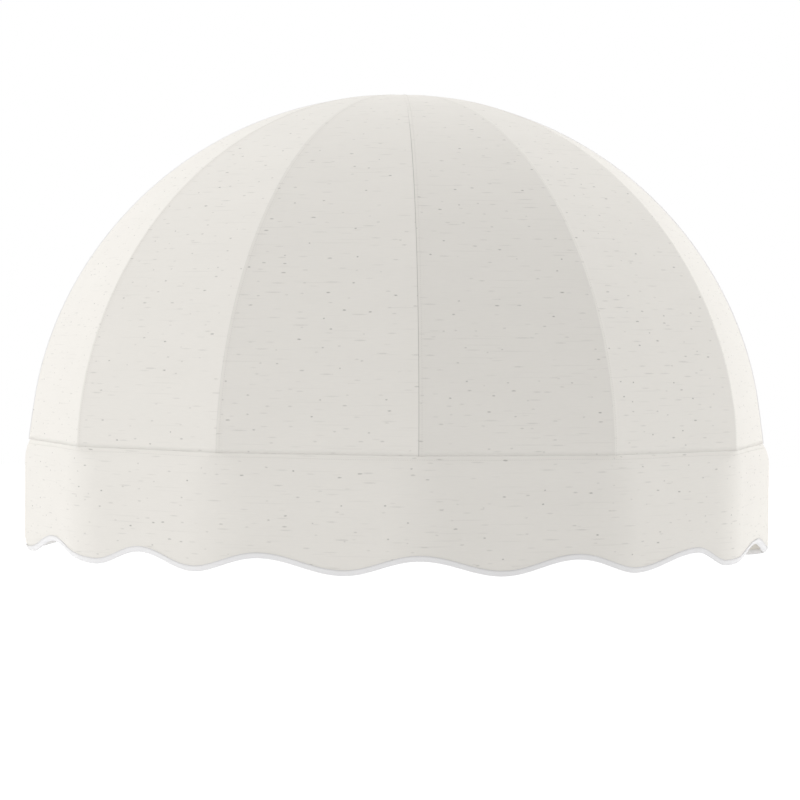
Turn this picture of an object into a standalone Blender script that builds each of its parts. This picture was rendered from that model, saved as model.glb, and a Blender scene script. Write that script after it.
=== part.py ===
"""Quarter-dome window awning: a tube frame fixed to a wall, six fabric gores and a scalloped valance.

Metres, +Z up. The wall is the plane Y = 0 and the awning stands out from it towards -Y.
The origin is the centre of the crown hub's back face, where the top of the frame meets the wall.
"""

import math

import bmesh
import bpy
from mathutils import Matrix, Vector

# Driving dimensions of the dome, in metres
HALF_WIDTH = 0.6096
PROJECTION = 0.6096
DOME_RISE = 0.5752
REACH_POWER = 2.037
RISE_POWER = 1.885
INNER_RIB_ANGLE = math.radians(29.5)
OUTER_RIB_ANGLE = math.radians(58.2)

# Fabric cover
FABRIC = 0.0012
SEAM_INSET = 0.0007
GORE_TIP_REACH = 0.012
SEAM_HEIGHT_GAP = 0.0005
PIPING_RADIUS = 0.002
PIPING_PROUD = 0.0006

# Valance and its binding tape
VALANCE_DROP = 0.1689
SCALLOP_RISE = 0.0118
VALANCE_BULGE = 0.0065
VALANCE_CORNER = 0.055
RETURN_WIDTH = 0.044
RETURN_TOP_DROP = 0.016
FOLD_RADIUS = 0.006
BINDING_HEIGHT = 0.009
BINDING_THICKNESS = 0.0009
BINDING_FOLD = 0.0012

# Scallops along the valance under each gore, counted from the middle of the front
SCALLOPS_INNER = 1.23
SCALLOPS_MIDDLE = 1.48
SCALLOPS_OUTER = 0.75

# Frame tubes
TUBE_RADIUS = 0.0111
TUBE_WALL = 0.0016
TUBE_SIDES = 10
HOOP_BEND_RADIUS = 0.06
RIB_TOP_REACH = 0.071

# Brackets, hub and shoes
PLATE = 0.003
SLEEVE_WALL = 0.003
SHOE_LENGTH = 0.036
SHOE_OUTREACH = 0.005
COLLAR_HEIGHT = 0.004
SPIGOT_LENGTH = 0.024
CLIP_LENGTH = 0.026
CLIP_STATION = 0.5
FLANGE_LENGTH = 0.042
FLANGE_HEIGHT = 0.032
CORNER_PLATE_WIDTH = 0.052
CORNER_PLATE_HEIGHT = 0.062
HUB_PLATE_WIDTH = 0.11
HUB_PLATE_DROP = 0.062
HUB_BODY_HALF_HEIGHT = 0.0065
HUB_SHELF = 0.006
SCREW_HOLE_RADIUS = 0.0035
HOLE_EDGE = 0.012
PLATE_CORNER = 0.006

# Clearances
GAP = 0.0003
FRAME_CLEARANCE = 0.0006
SPIGOT_CLEARANCE = 0.0004

# Divisions of the curved shapes
RIB_STATIONS = 16
ARC_STEPS = 4
ROUTE_STEP = 0.02
ROUND_SIDES = 16
PIPING_SIDES = 8
CORNER_STEPS = 3
FINE_STEPS = 4000
SLOPE_STEP = 1e-4
WELD_DISTANCE = 1e-6
SMOOTH_ANGLE = math.radians(35)

# Levels of the valance from the seam down: share of its depth, of its corner rounding and of its bulge
VALANCE_LEVELS = [(0.0, 0.15, 0.0), (0.07, 0.7, 0.7), (0.27, 1.0, 1.0), (0.64, 1.0, 1.0), (1.0, 1.0, 1.0)]

# Heights and offsets that follow from the values above
TUBE_INSET = TUBE_RADIUS + FRAME_CLEARANCE + FABRIC
HUB_HEIGHT = DOME_RISE - TUBE_INSET
BOW_Y = -(PLATE + 2 * GAP + TUBE_RADIUS)
PIPING_Y = -(PIPING_RADIUS + GAP)
WALL_EDGE_Y = PIPING_Y - PIPING_RADIUS - GAP
RETURN_Y = -(2 * GAP + BINDING_THICKNESS)
TUBE_FLAT = TUBE_RADIUS * math.cos(math.pi / TUBE_SIDES)
SPIGOT_RADIUS = TUBE_FLAT - TUBE_WALL - SPIGOT_CLEARANCE
SLEEVE_RADIUS = TUBE_RADIUS + GAP + SLEEVE_WALL
COLLAR_TOP = TUBE_RADIUS + COLLAR_HEIGHT
ORIGIN_HEIGHT = HUB_HEIGHT - TUBE_RADIUS - GAP - HUB_SHELF - HUB_PLATE_DROP / 2

RIB_ANGLES = {
    "left_outer": -OUTER_RIB_ANGLE,
    "left_inner": -INNER_RIB_ANGLE,
    "centre": 0.0,
    "right_inner": INNER_RIB_ANGLE,
    "right_outer": OUTER_RIB_ANGLE,
}
WALL_ANGLE = math.pi / 2
SEAM_ANGLES = [-WALL_ANGLE, *RIB_ANGLES.values(), WALL_ANGLE]
GORE_NAMES = ["left_outer", "left_middle", "left_inner", "right_inner", "right_middle", "right_outer"]

COLOURS = {
    "canvas": ((0.895, 0.868, 0.817, 1.0), 0.9, 0.0),
    "binding_tape": ((0.84, 0.84, 0.83, 1.0), 0.8, 0.0),
    "frame_coating": ((0.78, 0.78, 0.76, 1.0), 0.45, 0.0),
    "cast_fitting": ((0.62, 0.63, 0.64, 1.0), 0.4, 1.0),
}


def clear_scene():
    for item in list(bpy.data.objects):
        bpy.data.objects.remove(item, do_unlink=True)


def new_collection(name):
    collection = bpy.data.collections.new(name)
    bpy.context.scene.collection.children.link(collection)
    return collection


def finish_material(node_name, kind):
    """A material of the node's own, with the colour and gloss of its kind."""
    colour, roughness, metallic = COLOURS[kind]
    material = bpy.data.materials.new(node_name + "_" + kind)
    material.use_nodes = True
    shader = material.node_tree.nodes["Principled BSDF"]
    shader.inputs["Base Color"].default_value = colour
    shader.inputs["Roughness"].default_value = roughness
    shader.inputs["Metallic"].default_value = metallic
    return material


def add_node(name, data, kind):
    """Put a finished piece in the awning's collection, under the origin at the crown hub."""
    item = bpy.data.objects.new(name, data)
    data.materials.clear()
    data.materials.append(finish_material(name, kind))
    AWNING.objects.link(item)
    item.parent = ORIGIN
    return item


def add_cutter(name, data):
    item = bpy.data.objects.new(name, data)
    CUTTERS.objects.link(item)
    item.hide_render = True
    item.display_type = "WIRE"
    item.parent = ORIGIN
    return item


def combine(item, operation, other):
    step = item.modifiers.new(operation.lower() + "_" + other.name, "BOOLEAN")
    step.operation = operation
    step.object = other
    step.solver = "EXACT"


def mesh_from_bmesh(name, shape, smooth=False):
    data = bpy.data.meshes.new(name)
    shape.to_mesh(data)
    shape.free()
    if smooth:
        data.shade_smooth()
        data.set_sharp_from_angle(angle=SMOOTH_ANGLE)
    return data


def solidify(item, thickness):
    """Thicken an open sheet towards its inner side."""
    step = item.modifiers.new("thickness", "SOLIDIFY")
    step.thickness = thickness
    step.offset = -1.0
    step.use_even_offset = True


# The dome: seams on a superellipse, straight cloth between them


def plan_point(angle):
    return Vector((HALF_WIDTH * math.sin(angle), -PROJECTION * math.cos(angle), 0.0))


def reach(turn):
    return math.cos(turn) ** (2 / REACH_POWER)


def turn_at_reach(share):
    return math.acos(share ** (REACH_POWER / 2))


def seam_point(angle, turn):
    """A point of the seam at a plan angle; turn goes from 0 at the base to a quarter turn at the crown."""
    point = plan_point(angle) * reach(turn)
    point.z = DOME_RISE * math.sin(turn) ** (2 / RISE_POWER)
    return point


def even_turns(last, count):
    """Turns that divide the centre seam, up to the turn last, into equal lengths."""
    fine = [last * step / FINE_STEPS for step in range(FINE_STEPS + 1)]
    points = [seam_point(0.0, turn) for turn in fine]
    run = [0.0]
    for before, after in zip(points, points[1:]):
        run.append(run[-1] + (after - before).length)
    turns = []
    place = 0
    for step in range(count + 1):
        wanted = run[-1] * step / count
        while place < FINE_STEPS and run[place] < wanted:
            place += 1
        turns.append(fine[place])
    return turns


def seam_direction(angle, turn):
    low = max(turn - SLOPE_STEP, 0.0)
    high = turn + SLOPE_STEP
    return (seam_point(angle, high) - seam_point(angle, low)).normalized()


def gore_normal(left, right, turn):
    """The outward normal of the cloth between two seams, the same all along its straight crosswise line."""
    across = plan_point(right) - plan_point(left)
    return across.cross(seam_direction(left, turn)).normalized()


def neighbours(angle):
    place = SEAM_ANGLES.index(angle)
    return SEAM_ANGLES[place - 1], SEAM_ANGLES[place + 1]


def under_seam(angle, turn):
    """The middle of a rib tube that lies just under the cloth of the gores on both sides of a seam."""
    before, after = neighbours(angle)
    one = gore_normal(before, angle, turn)
    two = gore_normal(angle, after, turn)
    return seam_point(angle, turn) - (one + two) * (TUBE_INSET / (1 + one.dot(two)))


def bow_point(side, turn):
    """The middle of the wall bow: under the outer gore and clear of the wall by the bracket plates."""
    edge = seam_point(side * WALL_ANGLE, turn)
    if side > 0:
        normal = gore_normal(OUTER_RIB_ANGLE, WALL_ANGLE, turn)
    else:
        normal = gore_normal(-WALL_ANGLE, -OUTER_RIB_ANGLE, turn)
    in_plane = Vector((normal.x, 0.0, normal.z))
    depth = (TUBE_INSET + normal.y * BOW_Y) / in_plane.length_squared
    point = edge - in_plane * depth
    point.y = BOW_Y
    return point


def rib_path(angle):
    """The middle line of a rib, from the hoop up to the side of the crown hub."""
    last = turn_at_reach(RIB_TOP_REACH / plan_point(angle).length)
    turns = [turn for turn in RIB_TURNS[:-1] if turn < last]
    return [under_seam(angle, turn) for turn in [*turns, last]]


def gore(name, left, right):
    """One cloth gore, ruled straight across between its two seams."""
    shape = bmesh.new()
    rows = []
    for turn in GORE_TURNS:
        start = seam_point(left, turn)
        end = seam_point(right, turn)
        across = (end - start).normalized()
        trim = -WALL_EDGE_Y / abs(across.y)
        start = start + across * (trim if left == -WALL_ANGLE else SEAM_INSET)
        end = end - across * (trim if right == WALL_ANGLE else SEAM_INSET)
        rows.append((shape.verts.new(start), shape.verts.new(end)))
    for low, high in zip(rows, rows[1:]):
        shape.faces.new((low[0], low[1], high[1], high[0]))
    item = add_node(name, mesh_from_bmesh(name, shape, smooth=True), "canvas")
    solidify(item, FABRIC)
    return item


# Tubes


def tube_curve(name, points, radius, sides, caps):
    data = bpy.data.curves.new(name, "CURVE")
    data.dimensions = "3D"
    data.bevel_depth = radius
    data.bevel_resolution = (sides - 4) // 2
    data.use_fill_caps = caps
    spline = data.splines.new("POLY")
    spline.points.add(len(points) - 1)
    for place, point in zip(spline.points, points):
        place.co = (*point, 1.0)
    return data


def hollow_tube(name, points):
    item = add_node(name, tube_curve(name, points, TUBE_RADIUS, TUBE_SIDES, False), "frame_coating")
    solidify(item, TUBE_WALL)
    return item


def solid_cutter(name, points, radius):
    """A capped tube along a path, made a mesh so that it can cut."""
    guide = bpy.data.objects.new(name + "_guide", tube_curve(name, points, radius, TUBE_SIDES, True))
    CUTTERS.objects.link(guide)
    bpy.context.view_layer.update()
    data = bpy.data.meshes.new_from_object(guide.evaluated_get(bpy.context.evaluated_depsgraph_get()))
    bpy.data.objects.remove(guide, do_unlink=True)
    shape = bmesh.new()
    shape.from_mesh(data)
    bmesh.ops.remove_doubles(shape, verts=shape.verts, dist=WELD_DISTANCE)
    shape.to_mesh(data)
    shape.free()
    return add_cutter(name, data)


def corner_arc(before, corner, after, radius):
    """The points of a bend of the given radius that rounds one corner of a path."""
    inward = (before - corner).normalized()
    onward = (after - corner).normalized()
    half = inward.angle(onward) / 2
    middle = (inward + onward).normalized()
    centre = corner + middle * (radius / math.sin(half))
    start = corner + inward * (radius / math.tan(half)) - centre
    end = corner + onward * (radius / math.tan(half)) - centre
    axis = start.cross(end).normalized()
    sweep = start.angle(end)
    return [centre + Matrix.Rotation(sweep * step / ARC_STEPS, 3, axis) @ start for step in range(ARC_STEPS + 1)]


def hoop_corners():
    """The base hoop's path before its bends: one corner under each rib, and its two ends at the wall."""
    corners = [under_seam(angle, 0.0) for angle in RIB_ANGLES.values()]
    ends = []
    for side, corner in ((-1, corners[0]), (1, corners[-1])):
        foot = bow_point(side, 0.0)
        along = (foot - corner).normalized()
        face = PLATE + GAP + TUBE_RADIUS * abs(along.x)
        ends.append(corner + along * ((-face - corner.y) / along.y))
    return [ends[0], *corners, ends[1]]


def hoop_path():
    corners = hoop_corners()
    path = [corners[0]]
    for before, corner, after in zip(corners, corners[1:], corners[2:]):
        path.extend(corner_arc(before, corner, after, HOOP_BEND_RADIUS))
    return [*path, corners[-1]]


def lengthened(path, extra):
    """A path with both of its ends drawn out in a straight line."""
    start = path[0] + (path[0] - path[1]).normalized() * extra
    end = path[-1] + (path[-1] - path[-2]).normalized() * extra
    return [start, *path[1:-1], end]


# Fittings


def cylinder(name, radius, length, start, direction):
    """A round bar from start along direction."""
    shape = bmesh.new()
    bmesh.ops.create_cone(
        shape, cap_ends=True, segments=ROUND_SIDES, radius1=radius, radius2=radius, depth=length
    )
    bmesh.ops.translate(shape, vec=(0, 0, length / 2), verts=shape.verts)
    turn = Vector(direction).to_track_quat("Z", "Y").to_matrix().to_4x4()
    bmesh.ops.transform(shape, matrix=Matrix.Translation(start) @ turn, verts=shape.verts)
    return mesh_from_bmesh(name, shape, smooth=True)


def at_corner(point, corners):
    return any(math.hypot(point.x - x, point.z - z) < WELD_DISTANCE for x, z in corners)


def box(name, low, high, turn=None, place=None, rounded=()):
    """A box between two corners, rounded along Y at the given (x, z) corners, then turned and placed."""
    shape = bmesh.new()
    bmesh.ops.create_cube(shape, size=1.0)
    size = Vector(high) - Vector(low)
    middle = (Vector(high) + Vector(low)) / 2
    bmesh.ops.scale(shape, vec=size, verts=shape.verts)
    bmesh.ops.translate(shape, vec=middle, verts=shape.verts)
    edges = [edge for edge in shape.edges if all(at_corner(vert.co, rounded) for vert in edge.verts)]
    edges = [edge for edge in edges if abs((edge.verts[0].co - edge.verts[1].co).normalized().y) > 0.5]
    if edges:
        bmesh.ops.bevel(
            shape, geom=edges, offset=PLATE_CORNER, segments=CORNER_STEPS, profile=0.5, affect="EDGES"
        )
    if turn is not None:
        bmesh.ops.rotate(shape, cent=(0, 0, 0), matrix=turn.to_3x3(), verts=shape.verts)
    if place is not None:
        bmesh.ops.translate(shape, vec=place, verts=shape.verts)
    return mesh_from_bmesh(name, shape)


def facing(along):
    """A turn whose local Y points out of the dome, square to a level path that runs from left to right."""
    up = Vector((0, 0, 1))
    outward = along.cross(up).normalized()
    return Matrix((outward.cross(up), outward, up)).transposed().to_4x4()


def add_spigot(item, name, foot, above):
    """The collar that a tube's foot stands on and the spigot inside it, along the tube's first stretch."""
    along = (above - foot).normalized()
    collar = cylinder(name + "_collar", TUBE_FLAT, COLLAR_TOP, foot, along)
    combine(item, "UNION", add_cutter(name + "_collar", collar))
    spigot = cylinder(name + "_spigot", SPIGOT_RADIUS, COLLAR_TOP + SPIGOT_LENGTH, foot, along)
    combine(item, "UNION", add_cutter(name + "_spigot", spigot))


def stand_on_collar(path):
    """Start a tube's path just above the collar that carries it."""
    along = (path[1] - path[0]).normalized()
    return [path[0] + along * (COLLAR_TOP + GAP), *path[1:]]


def screw_hole(item, name, x, z):
    """A hole for a wall screw through a bracket plate."""
    start = (x, -2 * PLATE, z)
    bar = cylinder(name, SCREW_HOLE_RADIUS, 4 * PLATE, start, (0, 1, 0))
    combine(item, "DIFFERENCE", add_cutter(name, bar))


def rib_shoe(name, angle):
    """The saddle that snaps over the base hoop and carries a rib's foot on a spigot."""
    foot = under_seam(angle, 0.0)
    place = list(RIB_ANGLES.values()).index(angle)
    before, after = hoop_corners()[place], hoop_corners()[place + 2]
    along = ((after - foot).normalized() - (before - foot).normalized()).normalized()
    turn = facing(along)
    outward = turn.to_3x3() @ Vector((0, 1, 0))
    bend = corner_arc(before, foot, after, HOOP_BEND_RADIUS)
    middle = bend[ARC_STEPS // 2]
    shoe = add_node(
        name,
        cylinder(name, SLEEVE_RADIUS, SHOE_LENGTH, middle - along * SHOE_LENGTH / 2, along),
        "cast_fitting",
    )
    far = 2 * SLEEVE_RADIUS
    outer_side = box(name + "_outer_side", (-far, SHOE_OUTREACH, -far), (far, far, far), turn, middle)
    combine(shoe, "DIFFERENCE", add_cutter(name + "_outer_side", outer_side))
    add_spigot(shoe, name, foot, under_seam(angle, RIB_TURNS[1]))
    combine(shoe, "DIFFERENCE", HOOP_CLEARANCE)
    return shoe


def corner_bracket(name, side):
    """The bracket at the wall that holds one end of the base hoop and the foot of the wall bow."""
    foot = bow_point(side, 0.0)
    end = hoop_corners()[0 if side < 0 else -1]
    rib_foot = hoop_corners()[1 if side < 0 else -2]
    along = (rib_foot - end).normalized()
    inner = foot.x - side * (CORNER_PLATE_WIDTH - TUBE_RADIUS)
    outer = foot.x + side * SHOE_OUTREACH
    low = (min(inner, outer), -PLATE, -TUBE_RADIUS)
    high = (max(inner, outer), 0.0, CORNER_PLATE_HEIGHT - TUBE_RADIUS)
    plate = box(name, low, high, rounded=[(inner, low[2]), (inner, high[2])])
    bracket = add_node(name, plate, "cast_fitting")
    bar = cylinder(name + "_sleeve", SLEEVE_RADIUS, SHOE_LENGTH, end, along)
    sleeve = add_cutter(name + "_sleeve", bar)
    turn = facing(along * -side)
    far = 2 * SLEEVE_RADIUS
    outer_side = box(name + "_outer_side", (-3 * far, SHOE_OUTREACH, -far), (3 * far, far, far), turn, end)
    combine(sleeve, "DIFFERENCE", add_cutter(name + "_outer_side", outer_side))
    combine(bracket, "UNION", sleeve)
    middle_reach = SHOE_OUTREACH - GAP
    left_reach, right_reach = (TUBE_FLAT, middle_reach) if side > 0 else (middle_reach, TUBE_FLAT)
    root = box(
        name + "_root",
        (foot.x - left_reach, BOW_Y, -TUBE_FLAT),
        (foot.x + right_reach, -PLATE / 2, TUBE_RADIUS),
    )
    combine(bracket, "UNION", add_cutter(name + "_root", root))
    add_spigot(bracket, name, foot, bow_point(side, RIB_TURNS[1]))
    combine(bracket, "DIFFERENCE", HOOP_CLEARANCE)
    hole_x = inner + side * HOLE_EDGE
    screw_hole(bracket, name + "_low_hole", hole_x, HOLE_EDGE - TUBE_RADIUS)
    screw_hole(bracket, name + "_high_hole", hole_x, CORNER_PLATE_HEIGHT - TUBE_RADIUS - HOLE_EDGE)
    return bracket


def wall_clip(name, side):
    """A clip that ties the wall bow to the wall part of the way up each side."""
    turns = [turn for turn in RIB_TURNS if turn <= WALL_ANGLE * CLIP_STATION]
    middle = (bow_point(side, turns[-1]) + bow_point(side, turns[-2])) / 2
    along = (bow_point(side, turns[-1]) - bow_point(side, turns[-2])).normalized()
    clip = add_node(
        name,
        cylinder(name, SLEEVE_RADIUS, CLIP_LENGTH, middle - along * CLIP_LENGTH / 2, along),
        "cast_fitting",
    )
    inward = Vector((-along.z, 0, along.x)) * side
    to_wall = Vector((0, 1, 0))
    turn = Matrix((to_wall.cross(inward), to_wall, inward)).transposed().to_4x4()
    far = 2 * SLEEVE_RADIUS
    outer_side = box(name + "_outer_side", (-far, -far, -far), (far, far, -SHOE_OUTREACH), turn, middle)
    combine(clip, "DIFFERENCE", add_cutter(name + "_outer_side", outer_side))
    cut_y = far - PLATE / 2
    wall_side = box(name + "_wall_side", (-far, -far, -far), (far, far, far), None, (middle.x, cut_y, middle.z))
    combine(clip, "DIFFERENCE", add_cutter(name + "_wall_side", wall_side))
    reach_in = SLEEVE_RADIUS + FLANGE_LENGTH
    flange = box(
        name + "_flange",
        (-FLANGE_HEIGHT / 2, -BOW_Y - PLATE, 0.0),
        (FLANGE_HEIGHT / 2, -BOW_Y, reach_in),
        turn,
        middle,
        rounded=[(-FLANGE_HEIGHT / 2, reach_in), (FLANGE_HEIGHT / 2, reach_in)],
    )
    combine(clip, "UNION", add_cutter(name + "_flange", flange))
    combine(clip, "DIFFERENCE", BOW_CLEARANCE)
    hole = middle + inward * (reach_in - HOLE_EDGE)
    screw_hole(clip, name + "_hole", hole.x, hole.z)
    return clip


def room_beside(angle):
    """How far the crown hub may reach out before it touches the upper end of a rib."""
    below, top = rib_path(angle)[-2:]
    slope = (top - below).normalized().z
    return top.xy.length - TUBE_RADIUS * slope - GAP


def crown_hub():
    """The hub at the top of the wall bow: a wall plate, a shelf under the bow and five rib spigots."""
    name = "crown_hub"
    shelf_top = HUB_HEIGHT - TUBE_RADIUS - GAP
    shelf_low = shelf_top - HUB_SHELF
    body_top = HUB_HEIGHT + HUB_BODY_HALF_HEIGHT
    body_radius = min(map(room_beside, RIB_ANGLES.values()))
    front = BOW_Y - TUBE_RADIUS - GAP
    far = 2 * HALF_WIDTH
    body = cylinder(name, body_radius, body_top - shelf_low, (0, 0, shelf_low), (0, 0, 1))
    hub = add_node(name, body, "cast_fitting")
    wall_side = box(name + "_wall_side", (-far, -PLATE / 2, -far), (far, far, far))
    combine(hub, "DIFFERENCE", add_cutter(name + "_wall_side", wall_side))
    bow_side = box(name + "_bow_side", (-far, front, shelf_top), (far, far, far))
    combine(hub, "DIFFERENCE", add_cutter(name + "_bow_side", bow_side))
    half = HUB_PLATE_WIDTH / 2
    plate_low = shelf_low - HUB_PLATE_DROP
    plate = box(
        name + "_plate",
        (-half, -PLATE, plate_low),
        (half, 0.0, shelf_low + HUB_SHELF / 2),
        rounded=[(-half, plate_low), (half, plate_low)],
    )
    combine(hub, "UNION", add_cutter(name + "_plate", plate))
    for side_name, angle in RIB_ANGLES.items():
        below, top = rib_path(angle)[-2:]
        along = (below - top).normalized()
        root = top - along * SPIGOT_LENGTH / 2
        length = SPIGOT_LENGTH / 2 + SPIGOT_LENGTH
        spigot = cylinder(name + "_spigot_" + side_name, SPIGOT_RADIUS, length, root, along)
        combine(hub, "UNION", add_cutter(name + "_spigot_" + side_name, spigot))
    combine(hub, "DIFFERENCE", BOW_CLEARANCE)
    for side, side_name in ((-1, "left"), (1, "right")):
        screw_hole(hub, name + "_hole_" + side_name, side * (half - HOLE_EDGE), plate_low + HOLE_EDGE)
    return hub


# Valance, binding and piping


def offset_corners(outset):
    """The plan's corners moved outwards; the two at the wall slide along it."""
    corners = []
    for angle in RIB_ANGLES.values():
        before, after = neighbours(angle)
        one = gore_normal(before, angle, 0.0)
        two = gore_normal(angle, after, 0.0)
        corners.append(plan_point(angle) + (one + two) * (outset / (1 + one.dot(two))))
    at_wall = []
    for side in (-1, 1):
        wall = plan_point(side * WALL_ANGLE)
        normal = gore_normal(*sorted((side * WALL_ANGLE, side * OUTER_RIB_ANGLE)), 0.0)
        x = wall.x + (outset - normal.y * (RETURN_Y - wall.y)) / normal.x
        at_wall.append(Vector((x, RETURN_Y, 0.0)))
    return [at_wall[0], *corners, at_wall[1]]


def valance_route(corner_share, outset):
    """The valance seen from above, from the end of the left return round the front to the right one.

    Every route has as many points, so that one can be lofted to the next.
    """
    corners = offset_corners(outset)
    ends = [Vector((side * (HALF_WIDTH - RETURN_WIDTH), RETURN_Y, 0)) for side in (-1, 1)]
    route = [ends[0], *corners, ends[1]]
    points = [ends[0]]
    for place in range(1, len(route) - 1):
        before, corner, after = route[place - 1 : place + 2]
        half = (before - corner).angle(after - corner) / 2
        length = FOLD_RADIUS if place in (1, len(route) - 2) else VALANCE_CORNER * corner_share
        arc = corner_arc(before, corner, after, length * math.tan(half))
        points.extend(subdivide(points[-1], arc[0], ROUTE_STEPS[place - 1]))
        points.extend(arc)
    points.extend(subdivide(points[-1], ends[1], ROUTE_STEPS[-1]))
    points.append(ends[1])
    return points


def route_steps():
    """How many steps each straight run of the valance takes, so that every scallop is drawn smoothly."""
    corners = [plan_point(angle) for angle in SEAM_ANGLES]
    chords = [(after - before).length for before, after in zip(corners, corners[1:])]
    flats = [max(round((chord - VALANCE_CORNER) / ROUTE_STEP), 1) for chord in chords]
    ends = max(round(RETURN_WIDTH / ROUTE_STEP), 1)
    return [ends, *flats, ends]


def subdivide(start, end, steps):
    """The points strictly between two ends that divide a straight run into equal steps."""
    return [start.lerp(end, step / steps) for step in range(1, steps)]


def run_lengths(points):
    """The distance of each point along its route, counted from the middle of the front."""
    run = [0.0]
    for before, after in zip(points, points[1:]):
        run.append(run[-1] + (after - before).length)
    return [length - run[-1] / 2 for length in run]


def outward_at(points, place):
    before = points[max(place - 1, 0)]
    after = points[min(place + 1, len(points) - 1)]
    return (after - before).cross(Vector((0, 0, 1))).normalized()


def scallop_count(run):
    """How many scallops lie between the middle of the front and a place along the valance."""
    distance = abs(run)
    count = 0.0
    for scallops, chord in SCALLOP_RUNS[:-1]:
        if distance <= chord:
            return count + scallops * distance / chord
        distance -= chord
        count += scallops
    scallops, chord = SCALLOP_RUNS[-1]
    return count + scallops * distance / chord


def scallop_depth(run):
    """How far below the seam the binding's lower edge hangs."""
    return VALANCE_DROP - SCALLOP_RISE * math.cos(2 * math.pi * scallop_count(run))


def valance():
    shape = bmesh.new()
    bottom = valance_route(1.0, VALANCE_BULGE)
    depths = [scallop_depth(run) - BINDING_FOLD - GAP for run in run_lengths(bottom)]
    return_points = ROUTE_STEPS[0] + ARC_STEPS
    rows = []
    for share, corner_share, bulge_share in VALANCE_LEVELS:
        row = []
        route = valance_route(corner_share, VALANCE_BULGE * bulge_share)
        for place, (point, depth) in enumerate(zip(route, depths)):
            on_return = min(place, len(route) - 1 - place) <= return_points
            top = RETURN_TOP_DROP if on_return else SEAM_HEIGHT_GAP
            point.z = -(top + share * (depth - top))
            row.append(shape.verts.new(point))
        rows.append(row)
    for high, low in zip(rows, rows[1:]):
        for place in range(len(high) - 1):
            shape.faces.new((low[place], low[place + 1], high[place + 1], high[place]))
    item = add_node("valance", mesh_from_bmesh("valance", shape, smooth=True), "canvas")
    solidify(item, FABRIC)


def loft(name, sections, kind):
    """A closed solid through a row of sections with the same number of corners."""
    shape = bmesh.new()
    rings = [[shape.verts.new(point) for point in section] for section in sections]
    count = len(rings[0])
    for ring, following in zip(rings, rings[1:]):
        for place in range(count):
            after = (place + 1) % count
            shape.faces.new((ring[place], ring[after], following[after], following[place]))
    shape.faces.new(rings[0])
    shape.faces.new(list(reversed(rings[-1])))
    bmesh.ops.recalc_face_normals(shape, faces=shape.faces)
    return add_node(name, mesh_from_bmesh(name, shape), kind)


def binding():
    """The tape folded over the valance's scalloped edge, a long trough of U section."""
    route = valance_route(1.0, VALANCE_BULGE)
    outer = GAP + BINDING_THICKNESS
    inner = -(FABRIC + GAP + BINDING_THICKNESS)
    top = BINDING_HEIGHT
    slot = BINDING_FOLD
    profile = [
        (outer, top),
        (outer, 0.0),
        (inner, 0.0),
        (inner, top),
        (inner + BINDING_THICKNESS, top),
        (inner + BINDING_THICKNESS, slot),
        (outer - BINDING_THICKNESS, slot),
        (outer - BINDING_THICKNESS, top),
    ]
    sections = []
    for place, (point, run) in enumerate(zip(route, run_lengths(route))):
        outward = outward_at(route, place)
        low = Vector((point.x, point.y, -scallop_depth(run)))
        sections.append([low + outward * out + Vector((0, 0, up)) for out, up in profile])
    loft("valance_binding", sections, "binding_tape")


def piping():
    """The cord-filled edge that closes the cloth against the wall."""
    points = []
    for side in (-1, 1):
        one_side = []
        for turn in GORE_TURNS:
            along = seam_direction(side * WALL_ANGLE, turn)
            outward = Vector((along.z, 0, -along.x)) * side
            point = seam_point(side * WALL_ANGLE, turn) + outward * (PIPING_PROUD - PIPING_RADIUS)
            point.y = PIPING_Y
            one_side.append(point)
        points.extend(one_side if side < 0 else reversed(one_side))
    data = tube_curve("wall_edge_piping", points, PIPING_RADIUS, PIPING_SIDES, True)
    add_node("wall_edge_piping", data, "binding_tape")


def build():
    for name, left, right in zip(GORE_NAMES, SEAM_ANGLES, SEAM_ANGLES[1:]):
        gore("gore_" + name, left, right)
    for side_name, angle in RIB_ANGLES.items():
        hollow_tube("rib_" + side_name, stand_on_collar(rib_path(angle)))
        rib_shoe("rib_shoe_" + side_name, angle)
    valance()
    binding()
    piping()
    hollow_tube("base_hoop", HOOP_PATH)
    hollow_tube("wall_bow", BOW_PATH)
    crown_hub()
    for side, side_name in ((-1, "left"), (1, "right")):
        corner_bracket("corner_bracket_" + side_name, side)
        wall_clip("wall_clip_" + side_name, side)


def bow_path():
    """The wall bow from its left foot over the crown to its right foot."""
    turns = RIB_TURNS + [turn_at_reach(GORE_TIP_REACH / HALF_WIDTH)]
    left = stand_on_collar([bow_point(-1, turn) for turn in turns])
    right = stand_on_collar([bow_point(1, turn) for turn in turns])
    crown = Vector((0.0, BOW_Y, HUB_HEIGHT))
    return [*left, crown, *reversed(right)]


clear_scene()
AWNING = new_collection("window_awning")
CUTTERS = new_collection("cutters_and_guides")
ORIGIN = bpy.data.objects.new("crown_origin", None)
ORIGIN.location = (0.0, 0.0, -ORIGIN_HEIGHT)
AWNING.objects.link(ORIGIN)
ROUTE_STEPS = route_steps()
SCALLOP_RUNS = [
    (SCALLOPS_INNER, (plan_point(INNER_RIB_ANGLE) - plan_point(0.0)).length),
    (SCALLOPS_MIDDLE, (plan_point(OUTER_RIB_ANGLE) - plan_point(INNER_RIB_ANGLE)).length),
    (SCALLOPS_OUTER, (plan_point(WALL_ANGLE) - plan_point(OUTER_RIB_ANGLE)).length),
]
RIB_TURNS = even_turns(turn_at_reach(RIB_TOP_REACH / PROJECTION), RIB_STATIONS)
GORE_TURNS = RIB_TURNS + [turn_at_reach(GORE_TIP_REACH / HALF_WIDTH)]
HOOP_PATH = hoop_path()
BOW_PATH = bow_path()
HOOP_CLEARANCE = solid_cutter("hoop_clearance", lengthened(HOOP_PATH, GAP), TUBE_RADIUS + GAP)
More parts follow.
